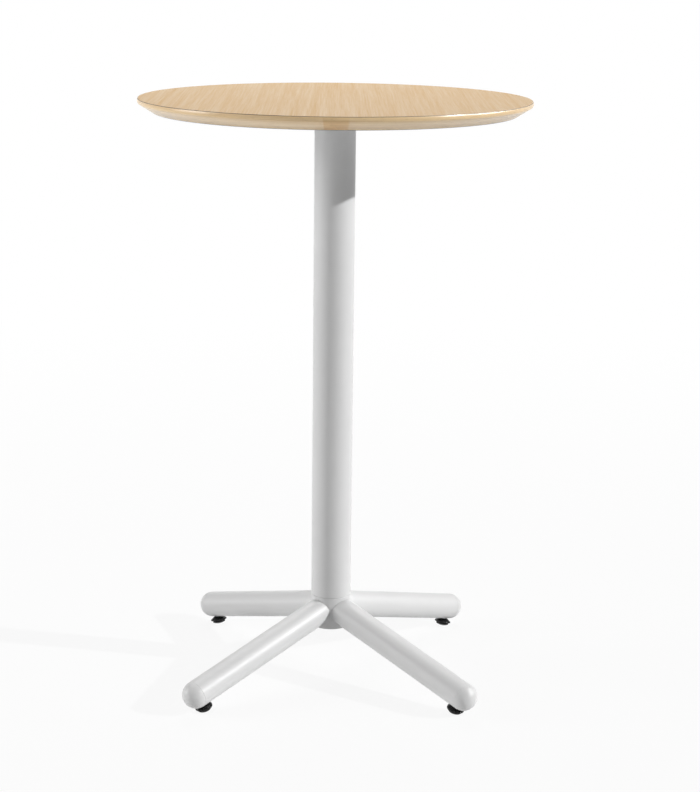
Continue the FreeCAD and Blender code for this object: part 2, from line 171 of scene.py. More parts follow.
def rounded(outline, arc_step=15):
    """Points of an outline of (radius, height[, rounding]). A rounded corner becomes an arc, with a
    point beside each end that keeps the flats flat under smooth shading."""
    points = []
    for i, corner in enumerate(outline):
        here = Vector(corner[:2])
        radius = corner[2] if len(corner) > 2 else 0
        if not radius:
            points.append(here)
            continue
        before = Vector(outline[i - 1][:2]) - here
        after = Vector(outline[(i + 1) % len(outline)][:2]) - here
        half = before.angle(after) / 2
        tangent = radius / math.tan(half)
        before, after_unit = before.normalized(), after.normalized()
        centre = here + (before + after_unit).normalized() * radius / math.sin(half)
        first = here + before * tangent - centre
        turn = math.pi - 2 * half
        if first.x * after_unit.y - first.y * after_unit.x < 0:
            turn = -turn
        steps = max(3, math.ceil(math.degrees(abs(turn)) / arc_step))
        points.append(here + before * (tangent + radius / 2))
        for k in range(steps + 1):
            angle = turn * k / steps
            c, s = math.cos(angle), math.sin(angle)
            points.append(centre + Vector((c * first.x - s * first.y, s * first.x + c * first.y)))
        points.append(here + after_unit * (tangent + radius / 2))
    return points


def grid_solid(rings, closed_around, closed_along):
    """A mesh from rings of points, joined by four-sided faces. A ring of one point is a pole."""
    bm = bmesh.new()
    rows = [[bm.verts.new(point) for point in ring] for ring in rings]
    pairs = list(zip(rows, rows[1:]))
    if closed_along:
        pairs.append((rows[-1], rows[0]))
    for low, high in pairs:
        count = max(len(low), len(high))
        for j in range(count if closed_around else count - 1):
            k = (j + 1) % count
            corners = [low[j % len(low)], low[k % len(low)], high[k % len(high)], high[j % len(high)]]
            corners = [v for n, v in enumerate(corners) if v not in corners[:n]]
            if len(corners) > 2:
                bm.faces.new(corners)
    return bm


def finished(bm, name, sharp=35):
    """The mesh, smooth but for its edges sharper than some degrees."""
    bmesh.ops.recalc_face_normals(bm, faces=bm.faces)
    for face in bm.faces:
        face.smooth = True
    for edge in bm.edges:
        edge.smooth = edge.calc_face_angle(0) < math.radians(sharp)
    mesh = bpy.data.meshes.new(name)
    bm.to_mesh(mesh)
    bm.free()
    return mesh


def turned(outline, segments, closed=False, reshape=None):
    """A mesh turned about +Z from points of (radius, height)."""
    rings = []
    for radius, height in outline:
        if radius < ON_AXIS:
            rings.append([(0, 0, height)])
            continue
        ring = []
        for j in range(segments):
            angle = 2 * math.pi * j / segments
            r, z = reshape(radius, angle, height) if reshape else (radius, height)
            ring.append((r * math.cos(angle), r * math.sin(angle), z))
        rings.append(ring)
    return grid_solid(rings, closed_around=True, closed_along=closed)


def place(name, mesh, material, body, nodes, matrix=None):
    """Put a mesh in the scene as a piece that rides on a body and stands for CAD nodes. A matrix
    moves a copy of the mesh, because the piece itself stays at the origin."""
    if matrix:
        mesh = mesh.copy()
        mesh.transform(matrix)
    piece = bpy.data.objects.new(name, mesh)
    bpy.context.scene.collection.objects.link(piece)
    if not mesh.materials:
        mesh.materials.append(material)
    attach(piece, body)
    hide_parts(*nodes)


def frame_matrix(x, y, z, origin):
    """Matrix with these three axes and this origin."""
    matrix = Matrix((x, y, z)).transposed().to_4x4()
    matrix.translation = origin
    return matrix


# ---------------------------------------------------------------- material helpers


class Shader:
    """A material with a Principled shader, and short calls for the nodes that feed it."""

    def __init__(self, name):
        self.material = bpy.data.materials.new(name)
        self.material.use_nodes = True
        self.tree = self.material.node_tree
        self.surface = self.tree.nodes["Principled BSDF"]

    def node(self, kind, **inputs):
        made = self.tree.nodes.new(kind)
        for key, value in inputs.items():
            self.feed(made.inputs[key.replace("_", " ")], value)
        return made

    def feed(self, socket, value):
        if isinstance(value, bpy.types.NodeSocket):
            self.tree.links.new(value, socket)
        else:
            socket.default_value = value

    def set(self, **values):
        for key, value in values.items():
            self.feed(self.surface.inputs[key.replace("_", " ")], value)

    def object_coordinates(self):
        return self.node("ShaderNodeTexCoord").outputs["Object"]

    def scaled(self, vector, scale, offset=(0, 0, 0)):
        mapping = self.node("ShaderNodeMapping", Vector=vector, Scale=scale, Location=offset)
        return mapping.outputs["Vector"]

    def noise(self, vector, scale=1.0, detail=2.0, roughness=0.5):
        inputs = {"Vector": vector, "Scale": scale, "Detail": detail, "Roughness": roughness}
        return self.node("ShaderNodeTexNoise", **inputs).outputs["Fac"]

    def math(self, operation, a, b=0.0):
        made = self.tree.nodes.new("ShaderNodeMath")
        made.operation = operation
        self.feed(made.inputs[0], a)
        self.feed(made.inputs[1], b)
        return made.outputs[0]

    def span(self, value, low, high, to_low=0.0, to_high=1.0):
        """Map low..high to another span, and clamp it there."""
        made = self.tree.nodes.new("ShaderNodeMapRange")
        for socket, item in zip(made.inputs[:5], (value, low, high, to_low, to_high)):
            self.feed(socket, item)
        return made.outputs[0]

    def mix(self, factor, a, b, blend="MIX"):
        """Mix two colours. Inputs 6 and 7 and output 2 are the node's colour sockets."""
        made = self.tree.nodes.new("ShaderNodeMix")
        made.data_type = "RGBA"
        made.blend_type = blend
        self.feed(made.inputs[0], factor)
        self.feed(made.inputs[6], a)
        self.feed(made.inputs[7], b)
        return made.outputs[2]

    def bump(self, height, distance, strength):
        bump = self.node("ShaderNodeBump", Height=height, Distance=distance, Strength=strength)
        self.set(Normal=bump.outputs["Normal"])


def colour(red, green, blue):
    return (red, green, blue, 1.0)


# ---------------------------------------------------------------- materials


# Noise cells per metre of the oak figure, across, along and through the fibres.
DRIFT_CELLS = (9, 1.6, 9)
BAND_CELLS = (70, 1.1, 70)
LINE_CELLS = (420, 5, 420)
FIBRE_CELLS = (1900, 26, 1900)
PORE_CELLS = (2600, 95, 2600)
DRIFT = 6.0 * MM  # widest wander of the figure across the fibres, side to side


def wood_figure(shader, grain, pale, deep, pore_colour):
    """Straight oak figure. grain has its fibres along Y, in metres; the result is colour and height."""
    drift = shader.noise(shader.scaled(grain, DRIFT_CELLS), detail=1.0)
    drift = shader.math("MULTIPLY", shader.math("SUBTRACT", drift, 0.5), DRIFT)
    shift = shader.tree.nodes.new("ShaderNodeCombineXYZ")
    shader.feed(shift.inputs[0], drift)
    bent = shader.tree.nodes.new("ShaderNodeVectorMath")
    bent.operation = "ADD"
    shader.feed(bent.inputs[0], grain)
    shader.feed(bent.inputs[1], shift.outputs[0])
    bent = bent.outputs[0]

    bands = shader.noise(shader.scaled(bent, BAND_CELLS), detail=3.0, roughness=0.6)
    lines = shader.noise(shader.scaled(bent, LINE_CELLS, (3, 1, 2)), detail=3.0, roughness=0.65)
    fibres = shader.noise(shader.scaled(bent, FIBRE_CELLS, (7, 5, 1)), detail=2.0)
    pores = shader.noise(shader.scaled(bent, PORE_CELLS, (1, 9, 4)), detail=1.0)
    pores = shader.span(pores, 0.66, 0.74)

    tone = shader.math("ADD", shader.math("MULTIPLY", bands, 0.45), shader.math("MULTIPLY", lines, 0.4))
    tone = shader.math("ADD", tone, shader.math("MULTIPLY", fibres, 0.15))
    figure = shader.mix(shader.span(tone, 0.36, 0.64), deep, pale)
    figure = shader.mix(shader.math("MULTIPLY", pores, 0.45), figure, pore_colour)
    height = shader.math("SUBTRACT", shader.math("MULTIPLY", fibres, 0.4), pores)
    return figure, height


def oak_laminate():
    shader = Shader("oak_laminate")
    grain = shader.object_coordinates()
    pale = colour(0.69, 0.535, 0.36)
    deep = colour(0.60, 0.39, 0.187)
    figure, height = wood_figure(shader, grain, pale, deep, colour(0.47, 0.32, 0.18))
    shader.set(Base_Color=figure, Roughness=0.68, Specular_IOR_Level=0.1)
    shader.bump(height, 0.03 * MM, 0.5)
    return shader.material


def laminate_edge():
    """The dark resin core of the laminate, seen as a thin line round the top."""
    shader = Shader("laminate_edge")
    grain = shader.noise(shader.scaled(shader.object_coordinates(), (300, 300, 2500)), detail=2.0)
    shader.set(
        Base_Color=shader.mix(grain, colour(0.14, 0.10, 0.06), colour(0.24, 0.18, 0.12)),
        Roughness=0.5,
    )
    return shader.material


SCARF_FADE = 4.0 * MM  # over which the painted warmer, darker patch at a scarf joint turns into plain wood
LIPPING_SHIFT = 0.37  # metres across the fibres, from one length's figure to the next's


def oak_lipping(index, middle):
    """Lacquered oak whose fibres follow the edge, measured from the middle of the piece's arc. Over
    every scarf joint the wood is painted warmer and darker, mostly on the undercut; at the front
    joint, above the column, this is a painted reflection of the column in the lacquer."""
    shader = Shader("oak_lipping_%d" % index)
    place_vector = shader.object_coordinates()
    turned_back = shader.node("ShaderNodeMapping", Vector=place_vector, Rotation=(0, 0, -middle))
    split = shader.tree.nodes.new("ShaderNodeSeparateXYZ")
    shader.feed(split.inputs[0], turned_back.outputs["Vector"])
    x, y, z = split.outputs
    angle = shader.math("ARCTAN2", y, x)
    arc = shader.math("MULTIPLY", angle, TOP_RADIUS)
    squares = shader.math("ADD", shader.math("MULTIPLY", x, x), shader.math("MULTIPLY", y, y))
    radius = shader.math("SQRT", squares)
    grain = shader.tree.nodes.new("ShaderNodeCombineXYZ")
    shader.feed(grain.inputs[0], shader.math("ADD", radius, LIPPING_SHIFT * index))
    shader.feed(grain.inputs[1], arc)
    shader.feed(grain.inputs[2], z)
    tint = 1.0 - 0.05 * (index % 2)  # every other length is a little darker
    pale = colour(0.88 * tint, 0.67 * tint, 0.39 * tint)
    deep = colour(0.72 * tint, 0.49 * tint, 0.255 * tint)
    figure, height = wood_figure(shader, grain.outputs[0], pale, deep, colour(0.30, 0.18, 0.09))
    half_length = TOP_RADIUS * math.pi / LIPPING_LENGTHS
    scarf_end = SCARF_LENGTH - half_length
    near_start = shader.span(arc, scarf_end - SCARF_FADE, scarf_end, 1.0, 0.0)
    past_end = shader.span(arc, half_length, half_length + SCARF_FADE / 2, 0.0, 1.0)
    over_scarf = shader.math("MAXIMUM", near_start, past_end)
    foot = TABLE_HEIGHT - EDGE_BAND
    undercut = shader.span(z, foot - 1.0 * MM, foot + 3.0 * MM, 1.0, 0.35)
    # painted: warmer, darker wood over each scarf joint, which at the front joint is a painted
    # reflection of the column on the undercut
    scarf_tint_and_painted_reflection = shader.math("MULTIPLY", over_scarf, undercut)
    figure = shader.mix(scarf_tint_and_painted_reflection, figure, colour(0.93, 0.82, 0.67), "MULTIPLY")
    shader.set(Base_Color=figure, Roughness=0.24)
    shader.bump(height, 0.03 * MM, 0.35)
    return shader.material


def backing_laminate():
    shader = Shader("backing_laminate")
    grain = shader.object_coordinates()
    pale = colour(0.15, 0.148, 0.144)
    deep = colour(0.12, 0.118, 0.114)
    figure, height = wood_figure(shader, grain, pale, deep, colour(0.09, 0.088, 0.085))
    shader.set(Base_Color=figure, Roughness=0.7, Specular_IOR_Level=0.2)
    shader.bump(height, 0.02 * MM, 0.5)
    return shader.material


def core_board():
    """Pressed wood chips."""
    shader = Shader("core_board")
    chips = shader.node("ShaderNodeTexVoronoi", Vector=shader.object_coordinates(), Scale=420.0)
    fine = shader.noise(shader.object_coordinates(), 900.0, detail=3.0)
    tone = shader.mix(fine, colour(0.40, 0.28, 0.16), colour(0.62, 0.47, 0.29))
    tone = shader.mix(0.35, tone, chips.outputs["Color"], "SOFT_LIGHT")
    shader.set(Base_Color=tone, Roughness=0.85)
    shader.bump(chips.outputs["Distance"], 0.3 * MM, 0.4)
    return shader.material


POWDER_GREY = 0.66
POWDER_ROUGHNESS = 0.42


def powder_coat(name):
    """Satin powder coat: an even grey with a fine orange peel."""
    shader = Shader(name)
    place_vector = shader.object_coordinates()
    clouds = shader.noise(place_vector, 14.0, detail=2.0)
    peel = shader.noise(place_vector, 520.0, detail=2.0, roughness=0.45)
    gloss = shader.noise(place_vector, 45.0, detail=3.0)
    shader.set(
        Base_Color=shader.span(clouds, 0.3, 0.7, POWDER_GREY - 0.008, POWDER_GREY + 0.008),
        Roughness=shader.span(gloss, 0.3, 0.7, POWDER_ROUGHNESS - 0.03, POWDER_ROUGHNESS + 0.03),
        Specular_IOR_Level=0.4,
    )
    shader.bump(peel, 0.06 * MM, 0.35)
    return shader.material


def black_gloss():
    shader = Shader("black_gloss")
    place_vector = shader.object_coordinates()
    dust = shader.span(shader.noise(place_vector, 260.0, detail=4.0, roughness=0.6), 0.5, 0.8)
    smears = shader.noise(place_vector, 90.0, detail=3.0)
    shader.set(
        Base_Color=shader.mix(dust, colour(0.004, 0.004, 0.0045), colour(0.012, 0.012, 0.0125)),
        Roughness=shader.span(smears, 0.3, 0.7, 0.16, 0.26),
        Specular_IOR_Level=0.25,
    )
    shader.bump(shader.noise(place_vector, 600.0, detail=2.0), 0.04 * MM, 0.25)
    return shader.material


def black_moulding():
    """Matt black cover with a spark-eroded grain."""
    shader = Shader("black_moulding")
    place_vector = shader.object_coordinates()
    grain = shader.noise(place_vector, 1500.0, detail=3.0, roughness=0.6)
    shader.set(
        Base_Color=shader.mix(grain, colour(0.020, 0.020, 0.021), colour(0.034, 0.034, 0.035)),
        Roughness=0.6,
    )
    shader.bump(grain, 0.1 * MM, 0.6)
    return shader.material


def metal(name, bright, dull, roughness):
    """Plated or bare steel with a soft mottle."""
    shader = Shader(name)
    place_vector = shader.object_coordinates()
    mottle = shader.noise(place_vector, 180.0, detail=4.0, roughness=0.6)
    marks = shader.noise(place_vector, 900.0, detail=2.0)
    shader.set(
        Base_Color=shader.mix(mottle, colour(*dull), colour(*bright)),
        Metallic=1.0,
        Roughness=shader.span(marks, 0.3, 0.7, roughness - 0.06, roughness + 0.08),
    )
    shader.bump(marks, 0.03 * MM, 0.3)
    return shader.material


# ---------------------------------------------------------------- the top


def band_radius(level):
    """Radius of the crowned band at a level: an arc through both its ends and its crown."""
    half = (EDGE_BAND - EDGE_ARRIS) / 2
    arc = (half**2 + EDGE_CROWN**2) / (2 * EDGE_CROWN)
    off = level - (TABLE_HEIGHT - EDGE_ARRIS - half)
    return TOP_RADIUS - arc + math.sqrt(arc**2 - off**2)


def make_face():
    """Laminate face with its fine chamfer; the laminate's edge is a second material."""
    head = TABLE_HEIGHT - EDGE_ARRIS
    face_radius = band_radius(head) - EDGE_ARRIS
    outline = [
        (0, FACE_GLUE_LEVEL),
        (band_radius(FACE_GLUE_LEVEL), FACE_GLUE_LEVEL),
        (band_radius(head), head),
        (face_radius, TABLE_HEIGHT),
        (face_radius - 2 * EDGE_ARRIS, TABLE_HEIGHT),
        (TOP_RADIUS / 2, TABLE_HEIGHT),
        (0, TABLE_HEIGHT),
    ]
    mesh = finished(turned(outline, segments=360), "top_face")
    mesh.materials.append(oak_laminate())
    mesh.materials.append(laminate_edge())
    for face in mesh.polygons:
        if face.center.z < TABLE_HEIGHT - EDGE_ARRIS / 4:
            face.material_index = 1
    place("top_face", mesh, None, "table", ["top_face_laminate"])


def undercut_radius(level):
    foot = TABLE_HEIGHT - EDGE_BAND
    low = TOP_RADIUS - UNDERCUT_RUN
    return low + (band_radius(foot) - low) * (level - UNDERSIDE) / (foot - UNDERSIDE)


def lipping_outline():
    """Section of the lipping: undercut, rounded foot, crowned band, and the hidden inner sides."""
    foot = TABLE_HEIGHT - EDGE_BAND
    inner = TOP_RADIUS - LIPPING_WIDTH
    steps = 8  # along the band
    band = []
    for k in range(steps + 1):
        level = foot + EDGE_ROUND + (FACE_GLUE_LEVEL - foot - EDGE_ROUND) * k / steps
        band.append((band_radius(level), level))
    return rounded(
        [
            (inner, BACKING_GLUE_LEVEL),
            (undercut_radius(BACKING_GLUE_LEVEL), BACKING_GLUE_LEVEL),
            (band_radius(foot), foot, EDGE_ROUND),
            *band,
            (inner, FACE_GLUE_LEVEL),
        ],
        arc_step=6,
    )


def scarf_lag(radius):
    """Angle from the scarf's outer end to where its straight line has this radius."""
    inner = TOP_RADIUS - LIPPING_WIDTH
    scarf = SCARF_LENGTH / TOP_RADIUS
    outer_point = Vector((TOP_RADIUS, 0))
    inner_point = Vector((inner * math.cos(scarf), inner * math.sin(scarf)))
    run = inner_point - outer_point
    a = run.dot(run)
    b = 2 * outer_point.dot(run)
    c = outer_point.dot(outer_point) - radius * radius
    share = (-b - math.sqrt(max(b * b - 4 * a * c, 0))) / (2 * a)
    at = outer_point.lerp(inner_point, share)
    return math.atan2(at.y, at.x)


def make_lipping():
    """Lengths of lipping that meet in upright scarf joints."""
    section = [(radius, height, scarf_lag(radius)) for radius, height in lipping_outline()]
    length = 2 * math.pi / LIPPING_LENGTHS
    steps = 90  # along each length
    for i in range(LIPPING_LENGTHS):
        name = "top_edge_%d" % (i + 1)
        start = math.radians(SCARF_AZIMUTH) + length * i
        middle = start + length / 2
        rings = []
        for k in range(steps + 1):
            ring = []
            for radius, height, lag in section:
                angle = start + lag + length * k / steps - middle
                ring.append((radius * math.cos(angle), radius * math.sin(angle), height))
            rings.append(ring)
        bm = grid_solid(rings, closed_around=True, closed_along=False)
        bm.verts.ensure_lookup_table()
        for end in (0, steps * len(section)):
            bm.faces.new(bm.verts[end:end + len(section)])
        wood = oak_lipping(i + 1, middle)
        matrix = Matrix.Rotation(middle, 4, "Z")
        nodes = ["edge_lipping_%d" % (i + 1)]
        place(name, finished(bm, name), wood, "table", nodes, matrix)


def make_underside():
    low_radius = TOP_RADIUS - UNDERCUT_RUN
    outline = rounded(
        [
            (0, BACKING_GLUE_LEVEL),
            (undercut_radius(BACKING_GLUE_LEVEL), BACKING_GLUE_LEVEL),
            (low_radius, UNDERSIDE, BACKING_EDGE),
            (low_radius / 2, UNDERSIDE),
            (0, UNDERSIDE),
        ]
    )
    mesh = finished(turned(outline, segments=240), "top_underside")
    laminate = backing_laminate()
    place("top_underside", mesh, laminate, "table", ["top_backing_laminate"])


# ---------------------------------------------------------------- plate, screws and washers


def make_plate(coat, zinc):
    outline = rounded(
        [
            (0, UNDERSIDE),
            (PLATE_RADIUS, UNDERSIDE, PLATE_TOP_EDGE),
            (PLATE_RADIUS, PLATE_BOTTOM + PLATE_CHAMFER, PLATE_CHAMFER_EDGE),
            (PLATE_RADIUS - PLATE_CHAMFER, PLATE_BOTTOM, PLATE_CHAMFER_EDGE),
            (PLATE_RADIUS / 2, PLATE_BOTTOM),
            (0, PLATE_BOTTOM),
        ]
    )
    mesh = finished(turned(outline, segments=180), "plate")
    place("plate", mesh, coat, "table", ["top_plate"])

    places = []
    for i in range(SCREW_COUNT):
        angle = math.radians(360 / SCREW_COUNT * (i + 0.5))
        places.append(Vector((math.cos(angle), math.sin(angle), 0)) * SCREW_CIRCLE_RADIUS)

    washer_bottom = PLATE_BOTTOM - WASHER_THICKNESS
    washer = rounded(
        [
            (WASHER_BORE, washer_bottom, WASHER_EDGE),
            (WASHER_RADIUS, washer_bottom, WASHER_EDGE),
            (WASHER_RADIUS, PLATE_BOTTOM, WASHER_EDGE),
            (WASHER_BORE, PLATE_BOTTOM, WASHER_EDGE),
        ]
    )
    washers = repeated(turned(washer, segments=48, closed=True), places)
    mesh = finished(washers, "plate_washers")
    place("plate_washers", mesh, zinc, "table", ["top_screw_washers"])
    screws = repeated(button_screw(washer_bottom), places)
    mesh = finished(screws, "plate_screws")
    place("plate_screws", mesh, zinc, "table", ["top_screws"])


def button_screw(seat):
    """A screw with its domed head below the seat: dome, socket rim, hexagon socket, shank."""
    head_end = seat - SCREW_HEAD_HEIGHT
    socket_floor = head_end + 0.6 * SCREW_HEAD_HEIGHT
    socket_mouth = head_end + 0.15 * MM
    dome_height = 0.8 * SCREW_HEAD_HEIGHT
    corner = SCREW_SOCKET / math.sqrt(3)
    rim = corner * 1.12

    def hexagon(radius, angle, height):
        if radius > corner * 1.001:
            return radius, height
        part = (angle + math.pi / 6) % (math.pi / 3) - math.pi / 6
        return radius / corner * (SCREW_SOCKET / 2) / math.cos(part), height

    dome = [
        (SCREW_HEAD_RADIUS * math.cos(t), head_end + dome_height * (1 - math.sin(t)))
        for t in [math.radians(60 - 10 * k) for k in range(7)]
    ]
    outline = [(0, socket_floor), (corner, socket_floor)]
    outline += [(corner, socket_mouth), (rim, head_end)]
    outline += [(r, z) for r, z in dome if r > corner * 1.2]
    outline += [(SCREW_HEAD_RADIUS, seat), (SCREW_RADIUS, seat)]
    outline += [(SCREW_RADIUS, UNDERSIDE + SCREW_REACH), (0, UNDERSIDE + SCREW_REACH)]
    return turned(outline, segments=48, reshape=hexagon)


def repeated(bm, places):
    """The mesh at each of these places, in one mesh."""
    base = bpy.data.meshes.new("base")
    bm.to_mesh(base)
    bm.free()
    out = bmesh.new()
    for at in places:
        start = len(out.verts)
        out.from_mesh(base)
        out.verts.ensure_lookup_table()
        bmesh.ops.translate(out, verts=out.verts[start:], vec=at)
    bpy.data.meshes.remove(base)
    return out


# ---------------------------------------------------------------- column and hub


def tube_outline(outer, inner, low, high, edge):
    return rounded([(inner, low), (outer, low, edge), (outer, high, edge), (inner, high)])


def make_column(coat, moulding):
    inner = COLUMN_RADIUS - COLUMN_WALL
    outline = tube_outline(COLUMN_RADIUS, inner, SEAM + SEAM_GAP, PLATE_BOTTOM, SEAM_EDGE)
    mesh = finished(turned(outline, segments=160, closed=True), "column")
    place("column", mesh, coat, "table", ["column_tube"])

    inner = COLUMN_RADIUS - HUB_WALL
    outline = tube_outline(COLUMN_RADIUS, inner, HUB_BOTTOM, SEAM, SEAM_EDGE)
    mesh = finished(turned(outline, segments=160, closed=True), "hub")
    place("hub", mesh, coat, "table", ["hub_tube"])

    skirt = COVER_RADIUS - COVER_SKIRT_WALL
    outline = rounded(
        [
            (0, COVER_BOTTOM),
            (COVER_RADIUS, COVER_BOTTOM, COVER_EDGE),
            (COVER_RADIUS, COVER_TOP),
            (skirt, COVER_TOP),
            (skirt, COVER_BOTTOM + COVER_THICKNESS),
            (0, COVER_BOTTOM + COVER_THICKNESS),
        ]
    )
    mesh = finished(turned(outline, segments=96), "hub_cover")
    place("hub_cover", mesh, moulding, "table", ["hub_bottom_cover"])


# ---------------------------------------------------------------- legs


class Corner:
    """Axes of a leg and its foot, from the joints of that corner."""

    def __init__(self, name):
        joints = {joint["name"]: joint for joint in frame["joints"]}
        down = Vector(joints[name + "_level"]["axis"])
        seat = Vector(joints[name + "_turn"]["pos_m"])
        level = Vector((seat.x, seat.y, 0)).normalized()
        self.sine = -down.dot(level)
        self.cosine = math.sqrt(1 - self.sine**2)
        along = level * self.cosine - UP * self.sine
        across = along.cross(down)
        station = seat - down * LEG_RADIUS
        reach = Vector((station.x, station.y)).length / self.cosine
        crossing = station - along * reach
        self.leg_matrix = frame_matrix(down, across, along, crossing)
        self.foot_matrix = frame_matrix(-along, across, down, seat)


def leg_mesh(corner):
    """Tube whose root is coped to the round hub, with a softened edge. +Z is the leg's axis."""
    hub = COLUMN_RADIUS + COPE_GAP
    inner = LEG_RADIUS - LEG_WALL

    def coped(radius, angle, height):
        side = radius * math.sin(angle)
        rise = radius * math.cos(angle) * corner.sine
        root = (math.sqrt(hub * hub - side * side) + rise) / corner.cosine
        return radius, root + height * (LEG_REACH - root) / LEG_REACH

    outline = rounded(
        [
            (inner, 0),
            (LEG_RADIUS, 0, LEG_ROOT_EDGE),
            (LEG_RADIUS, LEG_REACH / 3),
            (LEG_RADIUS, LEG_REACH * 2 / 3),
            (LEG_RADIUS, LEG_REACH - LEG_END_CHAMFER),
            (LEG_RADIUS - LEG_END_CHAMFER, LEG_REACH),
            (inner, LEG_REACH),
        ]
    )
    return finished(turned(outline, segments=128, closed=True, reshape=coped), "leg")


def cap_mesh():
    """Domed end cap with the spigot that fills the leg's end. +Z is the leg's axis."""
    spigot = LEG_RADIUS - LEG_WALL - PUSH_FIT
    start = LEG_REACH + LEG_END_CHAMFER
    outline = [
        (0, LEG_REACH - CAP_SPIGOT),
        (spigot, LEG_REACH - CAP_SPIGOT),
        (spigot, LEG_REACH),
        (LEG_RADIUS - LEG_END_CHAMFER, LEG_REACH),
    ]
    steps = 24
    for k in range(steps + 1):
        angle = math.pi / 2 * k / steps
        outline.append((LEG_RADIUS * math.cos(angle), start + LEG_RADIUS * math.sin(angle)))
    return finished(turned(outline, segments=96), "leg_dome")


def make_legs(coat, cap_coat):
    dome = cap_mesh()
    for name in CORNERS:
        corner = Corner(name)
        tube = leg_mesh(corner)
        matrix = corner.leg_matrix
        place("leg_" + name, tube, coat, "table", ["leg_tube_" + name], matrix)
        place("leg_dome_" + name, dome, cap_coat, "table", ["leg_end_cap_" + name], matrix)
    bpy.data.meshes.remove(dome)


# ---------------------------------------------------------------- feet

COLLAR_BOTTOM = SEAT_GAP + COLLAR_HEIGHT
SOLE_TOP = COLLAR_BOTTOM + SOLE_GAP
STUD_HEAD_TOP = SOLE_TOP + SOLE_ROOF + STUD_HEAD_PLAY
STUD_HEAD_BOTTOM = STUD_HEAD_TOP + STUD_HEAD_HEIGHT
DOME_CENTRE = FOOT_HEIGHT - SOLE_DOME_RADIUS


def stud_mesh():
    """Threaded stud. Its thread is right-handed about +Z, which points down."""
    tip = SEAT_GAP - STUD_LENGTH
    shank_start = SEAT_GAP + 0.1 * MM  # just past the last turn of the thread
    lead = 1.2 * MM  # over which the thread rises from the tip
    step = THREAD_PITCH / 8

    def threaded(radius, angle, height):
        if radius < STUD_RADIUS * 0.999 or height > SEAT_GAP:
            return radius, height
        phase = height / THREAD_PITCH - angle / (2 * math.pi)
        wave = abs(2 * (phase % 1) - 1)
        crest = min(1, max(0, 1.25 * wave - 0.1))  # with a narrow flat at root and crest
        fade = min(1, max(0, (height - tip) / lead))
        return STUD_RADIUS - THREAD_DEPTH * max(1 - crest, 1 - fade), height

    outline = [(0, tip), (STUD_RADIUS - THREAD_DEPTH, tip)]
    count = int((SEAT_GAP - tip) / step)
    outline += [(STUD_RADIUS, tip + step * k) for k in range(1, count)]
    outline += [
        (STUD_RADIUS, shank_start),
        (STUD_RADIUS, COLLAR_BOTTOM),
        (NECK_RADIUS, COLLAR_BOTTOM),
        (NECK_RADIUS, STUD_HEAD_TOP),
        (STUD_HEAD_RADIUS, STUD_HEAD_TOP),
        (STUD_HEAD_RADIUS, STUD_HEAD_BOTTOM),
        (0, STUD_HEAD_BOTTOM),
    ]
    return finished(turned(outline, segments=48, reshape=threaded), "stud", sharp=50)


def collar_mesh():
    """Cone below the leg, then a rim with rounded edges and a ring of grip notches."""
    rim_top = COLLAR_BOTTOM - COLLAR_RIM
    bore = STUD_RADIUS + COLLAR_FIT
    reach = COLLAR_RADIUS + GRIP_RADIUS - GRIP_DEPTH
    half = math.pi / GRIP_COUNT

    def notched(radius, angle, height):
        off = (angle + half) % (2 * half) - half
        side = reach * math.sin(off)
        if abs(side) >= GRIP_RADIUS:
            return radius, height
        wall = reach * math.cos(off) - math.sqrt(GRIP_RADIUS**2 - side**2)
        return min(radius, wall), height

    outline = rounded(
        [
            (bore, SEAT_GAP),
            (COLLAR_TOP_RADIUS, SEAT_GAP, COLLAR_TOP_EDGE),
            (COLLAR_RADIUS, rim_top, COLLAR_EDGE),
            (COLLAR_RADIUS, COLLAR_BOTTOM, COLLAR_EDGE),
            (bore, COLLAR_BOTTOM),
        ],
        arc_step=10,
    )
    return finished(turned(outline, segments=240, closed=True, reshape=notched), "collar")


def sole_mesh():
    """Domed sole with the hollow that the stud's head turns in."""
    neck = NECK_RADIUS + NECK_FIT
    cavity = STUD_HEAD_RADIUS + NECK_FIT
    cavity_top = SOLE_TOP + SOLE_ROOF
    cavity_bottom = STUD_HEAD_BOTTOM + STUD_HEAD_PLAY

    def dome_level(radius):
        return DOME_CENTRE + math.sqrt(SOLE_DOME_RADIUS**2 - radius**2)

    side = SOLE_RADIUS
    outline = rounded(
        [
            (0, cavity_bottom),
            (cavity, cavity_bottom),
            (cavity, cavity_top),
            (neck, cavity_top),
            (neck, SOLE_TOP),
            (side - SOLE_CHAMFER, SOLE_TOP, SOLE_CHAMFER_EDGE),
            (side, SOLE_TOP + SOLE_CHAMFER, SOLE_CHAMFER_EDGE),
            (side, dome_level(side), SOLE_EDGE),
            *[(side * share, dome_level(side * share)) for share in (0.8, 0.6, 0.4, 0.2)],
            (0, FOOT_HEIGHT),
        ],
        arc_step=10,
    )
    return finished(turned(outline, segments=96), "sole")


def make_feet(gloss, zinc):
    stud, collar, sole = stud_mesh(), collar_mesh(), sole_mesh()
    for name in CORNERS:
        matrix = Corner(name).foot_matrix
        screw = "screw_" + name
        place("stud_" + name, stud, zinc, screw, ["foot_stud_" + name], matrix)
        place("collar_" + name, collar, gloss, screw, ["foot_collar_" + name], matrix)
        place("sole_" + name, sole, gloss, "sole_" + name, ["foot_sole_" + name], matrix)
    for mesh in (stud, collar, sole):
        bpy.data.meshes.remove(mesh)


# ---------------------------------------------------------------- pieces inside the table


def finish_inner_nodes(coat, zinc, steel):
    """CAD nodes that stay: their own shape is right, and they get a finish."""
    finishes = {
        "top_core_board": core_board(),
        "threaded_inserts": zinc,
        "top_plate_boss": coat,
        "tie_rod": zinc,
        "tie_rod_washer": zinc,
        "tie_rod_nut": zinc,
        "hub_head": steel,
        "leg_root_plugs": steel,
        "leg_bolts": zinc,
        "leg_bolt_saddles": steel,
    }
    for node, material in finishes.items():
        piece = frame["nodes"][node]
        piece.data.materials.clear()
        piece.data.materials.append(material)


# ---------------------------------------------------------------- floor, light and camera

